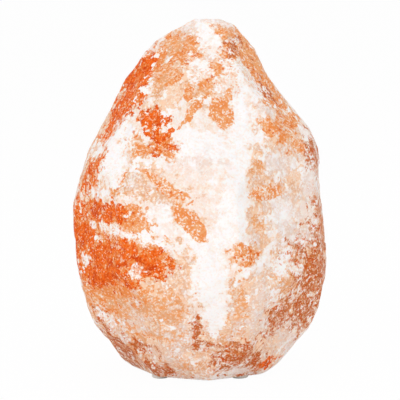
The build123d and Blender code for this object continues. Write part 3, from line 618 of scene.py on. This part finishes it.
def threaded(name, ends, inner, shape, crest, root, pitch, plain=(0.0, 0.0)):
    """A tube with one right-hand thread outside, in mm: ends are its lowest and highest points, crest and
    root the thread's radii, and plain is how much is left unthreaded at the bottom and the top. inner gives
    the inside's radius from the outside's, and shape the thread's height, 0 to 1, from its place in a turn."""
    bottom, top = ends
    around, rings = STEPS_AROUND, round((top - bottom) / pitch * STEPS_PER_TURN)
    turn = np.arange(around) / around
    height = np.linspace(bottom, top, rings + 1)
    spread, rise = np.meshgrid(turn, height)
    first, last = bottom + plain[0], top - plain[1]
    lead_in = fade(rise, first, first + pitch * RUN_OUT)
    run_out = 1 - fade(rise, last - pitch * RUN_OUT, last)
    depth = 1 - shape((rise / pitch - spread) % 1.0)
    outer = crest - (crest - root) * depth * lead_in * run_out
    corner = np.minimum(rise - bottom, top - rise).clip(0, THREAD_CORNER)
    outer = outer - (THREAD_CORNER - corner) * 0.8
    angle = spread * 2 * math.pi
    loops = [
        np.stack([reach * np.cos(angle), reach * np.sin(angle), rise], 2).reshape(-1, 3)
        for reach in (outer, inner(outer))
    ]
    count = len(loops[0])
    j, i = (grid.ravel() for grid in np.meshgrid(np.arange(rings), np.arange(around), indexing="ij"))
    a, b = j * around + i, j * around + (i + 1) % around
    outside = np.stack([a, b, b + around, a + around], 1)
    inside = outside[:, ::-1] + count
    k = np.arange(around)
    after = (k + 1) % around
    end = rings * around
    foot = np.stack([k + count, after + count, after, k], 1)
    head = np.stack([k + end, after + end, after + end + count, k + end + count], 1)
    mesh = bpy.data.meshes.new(name)
    mesh.from_pydata(np.concatenate(loops) * MM, [], np.concatenate([outside, inside, foot, head]).tolist())
    mesh.polygons.foreach_set("use_smooth", np.arange(len(mesh.polygons)) < 2 * rings * around)
    mesh.update()
    piece = bpy.data.objects.new(name, mesh)
    bpy.context.scene.collection.objects.link(piece)
    return piece


def heights(node):
    """A CAD node's lowest and highest point, in mm."""
    low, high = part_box(node)
    return low.z / MM, high.z / MM


def dress(material, *names):
    """Gives CAD nodes a material."""
    for name in names:
        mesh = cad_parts[name].data
        mesh.materials.clear()
        mesh.materials.append(material)


def fade(values, low, high):
    """0 below low, 1 above high, smooth between."""
    t = np.clip((values - low) / (high - low), 0, 1)
    return t * t * (3 - 2 * t)


def each(points, function):
    """What the function gives for each point."""
    return np.array([function(Vector(p)) for p in points])


def swell(size, octaves, shift):
    """Rolling noise of about -1 to 1, with features of the given size in mm."""
    def height(p):
        return noise.fractal(p / size + Vector((shift, -shift, shift * 0.3)), 0.9, 2.1, octaves)

    return height


def remeshed(name, node, step):
    """A copy of a CAD node's mesh in even squares."""
    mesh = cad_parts[node].data.copy()
    shell = bmesh.new()
    shell.from_mesh(mesh)
    bmesh.ops.remove_doubles(shell, verts=shell.verts, dist=1e-6)
    shell.to_mesh(mesh)
    shell.free()
    piece = bpy.data.objects.new(name, mesh)
    bpy.context.scene.collection.objects.link(piece)
    grid = piece.modifiers.new("Even squares", "REMESH")
    grid.mode = "VOXEL"
    grid.voxel_size = step
    shown = piece.evaluated_get(bpy.context.evaluated_depsgraph_get())
    even = bpy.data.meshes.new_from_object(shown)
    piece.modifiers.clear()
    piece.data = even
    even.materials.clear()
    return piece


def read(mesh, name):
    """The points' places ("co") or normals ("normal")."""
    values = np.empty(len(mesh.vertices) * 3)
    mesh.vertices.foreach_get(name, values)
    return values.reshape(-1, 3)


def place_points(mesh, at):
    """Puts a mesh's points at these places, in mm."""
    mesh.vertices.foreach_set("co", (at * MM).ravel())
    mesh.update()


def outer_weight(at):
    """1 on the block's outer face; 0 in the cavity, in the groove and on the base, with soft edges."""
    reach = np.hypot(at[:, 0], at[:, 1])
    inside = (reach < CAVITY_RADIUS + 5) & (at[:, 2] < CAVITY_ROOF + 4)
    beside = np.maximum(np.abs(at[:, 0]) - GROOVE_HALF_WIDTH, at[:, 2] - GROOVE_TOP)
    groove = np.where(at[:, 1] > 0, fade(beside, 0.8, 5.0), 1.0)
    return np.where(inside, 0.0, 1.0) * groove * fade(at[:, 2], BASE + 0.6, BASE + 6.0)


def smoothed(at, edges, weight, rounds):
    """Moves each point towards the mean of its neighbours, then back a little more, so that nothing shrinks."""
    ends = np.concatenate([edges[:, 0], edges[:, 1]])
    others = np.concatenate([edges[:, 1], edges[:, 0]])
    count = np.bincount(ends, minlength=len(at)).clip(1)
    for share in (0.6, -0.62) * rounds:
        mean = np.stack([np.bincount(ends, at[others, i], len(at)) for i in range(3)], 1) / count[:, None]
        at = at + (mean - at) * share * weight[:, None]
    return at


def chip_height(p):
    """Height of the broken flakes: each cell is a plane with its own tilt."""
    at = p / FLAKE_SIZE
    distances, middles = noise.voronoi(at)
    near, far = middles[0], middles[1]
    # The noise at a cell's middle, stretched so that neighbours differ, is the cell's tilt.
    first = (at - near).dot(noise.noise_vector(near * 5.1))
    second = (at - far).dot(noise.noise_vector(far * 5.1))
    share = min(max((distances[1] - distances[0]) / 0.12, 0.0), 1.0)
    return first * (0.5 + share / 2) + second * (0.5 - share / 2)


def scoop_depth(p):
    """Depth of the small hollows, each round its cell's middle."""
    distances, middles = noise.voronoi(p / SCOOP_SIZE)
    return max(0.0, 0.75 - distances[0]) * (0.5 + noise.noise(middles[0] * 3.3))


def roughened(at, normals, weight, crystal):
    """Breaks the smooth block into swells, flakes, hollows and grain, which leave its mean size as it is."""
    swells = each(at, swell(SWELL_SIZE, 3, 4.2))
    chips = each(at, chip_height)
    scoops = each(at, scoop_depth)
    grain = each(at, swell(GRAIN_SIZE, 4, 9.1))
    # The numbers bring each noise's usual range to about 1.
    height = (
        swells * crystal.wave / MM * 0.7
        + chips * crystal.chip / MM * 2.0
        - scoops * crystal.scoop / MM * 1.6
        + grain * crystal.grain / MM
    )
    height -= height.mean()
    return at + normals * (np.clip(height, DEEPEST, HIGHEST) * weight)[:, None]


def patch_depth(kind, u, v):
    """How many mm inside the nearest patch of this colour each point lies; less than 0 is outside.
    It is 1 at a patch's outline, and at its middle 4 plus half of its smaller half size."""
    depth = np.full(len(u), -PATCH_REACH)
    for across, up, half_length, half_width, tilt in PATCHES[kind]:
        a = math.radians(tilt)
        along = ((u - across) * math.cos(a) + (v - up) * math.sin(a)) / half_length
        aside = ((v - up) * math.cos(a) - (u - across) * math.sin(a)) / half_width
        size = min(half_length, half_width)
        depth = np.maximum(depth, (1 - np.hypot(along, aside)) * (size * 0.5 + 3.0) + 1.0)
    return depth.clip(-PATCH_REACH, PATCH_REACH)


def colour_map(mesh, at):
    """Writes how deep in each colour's patches every point lies: placed at the front, mottled elsewhere."""
    # The patches' outlines are bent by up to about 3 mm, so that none looks like an ellipse.
    bend = each(at, lambda p: noise.noise_vector(p / 11.0) * 2.0 + noise.noise_vector(p / 4.0) * 1.2)
    u = at[:, 0] + bend[:, 0]
    v = (at[:, 2] - VIEW_CENTRE) * math.cos(VIEW_TILT) + at[:, 1] * math.sin(VIEW_TILT) + bend[:, 2]
    front = 1 - fade(at[:, 1], *FRONT_ENDS)
    for number, kind in enumerate(PATCHES):
        size, level, slope = MOTTLING[kind]
        loose = (each(at, swell(size, 3, 17.0 + number * 6.7)) - level) * slope
        loose = loose.clip(-PATCH_REACH, PATCH_REACH)
        depth = patch_depth(kind, u, v) * front + loose * (1 - front)
        field = mesh.attributes.new(kind, "FLOAT", "POINT")
        field.data.foreach_set("value", depth.astype(np.float32))


class LampOperator:
    """What every operator of the lamp has in common."""

    bl_options = {"REGISTER", "UNDO"}

    def settings(self, context):
        return context.scene.salt_lamp


class SALTLAMP_OT_crystal(LampOperator, bpy.types.Operator):
    """Breaks the block's faces into swells, flakes and grain, and lays the colours of the salt"""

    bl_idname = "salt_lamp.crystal"
    bl_label = "Rock salt block"

    def execute(self, context):
        crystal = self.settings(context).crystal
        noise.seed_set(crystal.seed)
        block = remeshed("rock_salt_block", "salt_crystal", crystal.step)
        mesh = block.data
        low, high = (np.array(corner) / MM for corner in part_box("salt_crystal"))
        at = read(mesh, "co") / MM
        edges = np.empty(len(mesh.edges) * 2, int)
        mesh.edges.foreach_get("vertices", edges)
        weight = outer_weight(at)
        at = smoothed(at, edges.reshape(-1, 2), weight, SMOOTHING_ROUNDS)
        place_points(mesh, at)
        at = roughened(at, read(mesh, "normal"), weight, crystal).clip(low, high)
        at[:, 2] = np.where(np.abs(at[:, 2] - BASE) < 0.3, BASE, at[:, 2])  # the sawn base stays flat
        mesh.polygons.foreach_set("use_smooth", np.ones(len(mesh.polygons), bool))
        place_points(mesh, at)
        colour_map(mesh, at)
        mesh.materials.append(salt({name: tuple(getattr(crystal, name)) for name in SHADES}))
        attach(block, "crystal")
        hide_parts("salt_crystal")
        return {"FINISHED"}


class SALTLAMP_OT_pads(LampOperator, bpy.types.Operator):
    """Finishes the moulded rubber pads under the block"""

    bl_idname = "salt_lamp.pads"
    bl_label = "Foot pads"

    def execute(self, context):
        dress(moulded_rubber(tuple(self.settings(context).finish.rubber)), "foot_pads")
        return {"FINISHED"}


class SALTLAMP_OT_fittings(LampOperator, bpy.types.Operator):
    """Finishes the spring clip and the plated nipple, nut and washer that hold it"""

    bl_idname = "salt_lamp.fittings"
    bl_label = "Spring clip and nipple"

    def execute(self, context):
        finish = self.settings(context).finish
        zinc = plated("zinc_plated_steel", tuple(finish.zinc), 0.24, srgb(206, 206, 214))
        dress(zinc, "lock_nut", "clip_washer")
        nipple = threaded(
            "threaded_nipple",
            heights("cord_nipple"),
            inner=lambda outer: np.full_like(outer, NIPPLE_BORE),
            shape=lambda t: (1.25 - np.abs(2 * t - 1) * 1.4).clip(0, 1),
            **NIPPLE_THREAD,
        )
        nipple.data.materials.append(zinc)
        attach(nipple, "lamp_holder")
        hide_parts("cord_nipple")
        dress(plated("spring_steel", tuple(finish.spring), 0.2, srgb(168, 168, 172)), "spring_clip")
        return {"FINISHED"}


class SALTLAMP_OT_holder(LampOperator, bpy.types.Operator):
    """Finishes the bulb holder's cap, shell and core"""

    bl_idname = "salt_lamp.holder"
    bl_label = "Bulb holder"

    def execute(self, context):
        finish = self.settings(context).finish
        dress(holder_plastic(tuple(finish.plastic)), "holder_cap", "holder_shell")
        dress(unglazed_ceramic(tuple(finish.steatite)), "holder_core")
        return {"FINISHED"}


class SALTLAMP_OT_contacts(LampOperator, bpy.types.Operator):
    """Finishes the screw socket, the centre contact, the terminals and their screws"""

    bl_idname = "salt_lamp.contacts"
    bl_label = "Socket and contacts"

    def execute(self, context):
        finish = self.settings(context).finish
        brass = plated("brass", tuple(finish.brass), 0.22, srgb(196, 158, 88))
        dress(brass, "screw_socket", "centre_contact", "terminals")
        dress(plated("plated_screws", tuple(finish.zinc), 0.26, srgb(200, 200, 206)), "terminal_screws")
        return {"FINISHED"}


class SALTLAMP_OT_bulb(LampOperator, bpy.types.Operator):
    """Finishes the bulb: cap, insulator, contact, glass and wires"""

    bl_idname = "salt_lamp.bulb"
    bl_label = "Bulb"

    def execute(self, context):
        finish = self.settings(context).finish
        cap = threaded(
            "bulb_screw_cap",
            heights("bulb_cap"),
            inner=lambda outer: outer - CAP_WALL,
            shape=lambda t: 0.5 + 0.5 * np.cos(2 * math.pi * t),
            plain=CAP_PLAIN,
            **CAP_THREAD,
        )
        cap.data.materials.append(plated("nickel_plated_brass", tuple(finish.nickel), 0.2, srgb(196, 190, 178)))
        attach(cap, "bulb")
        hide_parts("bulb_cap")
        dress(wire_metal("solder", tuple(finish.solder), 0.3), "bulb_contact")
        dress(black_glass(tuple(finish.black_glass)), "bulb_insulator")
        dress(clear_glass(), "bulb_glass", "bulb_stem")
        dress(wire_metal("nickel_wire", tuple(finish.nickel), 0.2), "bulb_leads", "filament_supports")
        dress(wire_metal("tungsten", tuple(finish.tungsten), 0.4), "filament")
        return {"FINISHED"}


def aimed(name, data, place, direction):
    """A lamp or a camera as an object at this place, aimed along direction."""
    holder = bpy.data.objects.new(name, data)
    bpy.context.scene.collection.objects.link(holder)
    holder.location = place
    holder.rotation_mode = "QUATERNION"
    holder.rotation_quaternion = direction.to_track_quat("-Z", "Y")
    return holder


def soft_lamp(name, place, power, target):
    """A round lamp, aimed at target."""
    lamp = bpy.data.lights.new(name, "AREA")
    lamp.shape = "DISK"
    lamp.size = LAMP_SIZE
    lamp.energy = power
    aimed(name, lamp, place, target - Vector(place))


def seen_directly(r):
    """1 for rays from the camera, off a gloss or through glass."""
    path = r.add("ShaderNodeLightPath").socket.node
    seen = Wire(r, path.outputs["Is Camera Ray"])
    for name in ("Is Glossy Ray", "Is Transmission Ray"):
        seen = seen.most(Wire(r, path.outputs[name]))
    return seen


def pale_floor(shade):
    """Seen directly it is nearly white, with the object's shadow faint on it. From below it is clear."""
    r = Recipe("pale_floor")
    seen = seen_directly(r)
    speckle = r.noise(r.millimetres(), 14.0, 4.0, 0.6)
    matt = r.add("ShaderNodeBsdfDiffuse", {"Color": r.mix(speckle * 0.1, shade, srgb(232, 230, 228))})
    glow = r.add("ShaderNodeEmission", {"Color": (1, 1, 1), "Strength": 1.0})
    lit = r.add("ShaderNodeMixShader", {0: seen * 0.97, 1: matt, 2: glow})
    clear = r.add("ShaderNodeBsdfTransparent", {"Color": (1, 1, 1)})
    under = r.add("ShaderNodeNewGeometry", out="Backfacing")
    r.end(r.add("ShaderNodeMixShader", {0: under, 1: lit, 2: clear}))
    return r.material


def lay_floor(material, half=4.0):
    """A square floor of half that many metres each way."""
    mesh = bpy.data.meshes.new("floor")
    mesh.from_pydata(
        [(-half, -half, 0), (half, -half, 0), (half, half, 0), (-half, half, 0)], [], [(0, 1, 2, 3)]
    )
    mesh.materials.append(material)
    floor = bpy.data.objects.new("floor", mesh)
    bpy.context.scene.collection.objects.link(floor)


def light_room(scene, level):
    """Even light from all round at this level, which is white where it is seen directly."""
    scene.world = bpy.data.worlds.new("room")
    r = Recipe("room", scene.world)
    strength = seen_directly(r) * (1 - level) + level
    r.end(r.add("ShaderNodeBackground", {"Color": (1, 1, 1), "Strength": strength}), "ShaderNodeOutputWorld")


class SALTLAMP_OT_stage(LampOperator, bpy.types.Operator):
    """Sets the pale floor, the soft lamps, the room's light and the camera"""

    bl_idname = "salt_lamp.stage"
    bl_label = "Floor, light and camera"

    def execute(self, context):
        stage = self.settings(context).stage
        scene = context.scene
        lay_floor(pale_floor(tuple(stage.floor)))
        light_room(scene, stage.room)
        middle = Vector((0, 0, VIEW_CENTRE * MM))
        for name, place in LAMPS.items():
            soft_lamp(name, place, getattr(stage, name), middle)

        up = Vector((0, math.sin(VIEW_TILT), math.cos(VIEW_TILT)))
        back = Vector((0, -math.cos(VIEW_TILT), math.sin(VIEW_TILT)))
        camera = bpy.data.cameras.new("camera")
        camera.lens = stage.lens
        camera.sensor_width = 36
        target = middle - up * stage.drop
        scene.camera = aimed("camera", camera, target + back * stage.distance, -back)
        scene.view_settings.view_transform = "Standard"
        return {"FINISHED"}


OPERATORS = (
    SALTLAMP_OT_crystal,
    SALTLAMP_OT_pads,
    SALTLAMP_OT_fittings,
    SALTLAMP_OT_holder,
    SALTLAMP_OT_contacts,
    SALTLAMP_OT_bulb,
    SALTLAMP_OT_stage,
)


class SALTLAMP_PT_sidebar(bpy.types.Panel):
    """The lamp's pieces, in the order in which they are made"""

    bl_idname = "SALTLAMP_PT_sidebar"
    bl_label = "Salt crystal lamp"
    bl_space_type = "VIEW_3D"
    bl_region_type = "UI"
    bl_category = "Salt Lamp"

    def draw(self, context):
        for operator in OPERATORS:
            self.layout.operator(operator.bl_idname)


GROUPS = (CrystalSettings, FinishSettings, StageSettings, LampSettings)


def register():
    for cls in (*GROUPS, *OPERATORS, SALTLAMP_PT_sidebar):
        bpy.utils.register_class(cls)
    bpy.types.Scene.salt_lamp = PointerProperty(type=LampSettings)


def unregister():
    del bpy.types.Scene.salt_lamp
    for cls in reversed((*GROUPS, *OPERATORS, SALTLAMP_PT_sidebar)):
        bpy.utils.unregister_class(cls)


def main():
    register()
    for operator in OPERATORS:
        group, name = operator.bl_idname.split(".")
        getattr(getattr(bpy.ops, group), name)()


if __name__ == "__main__":
    main()
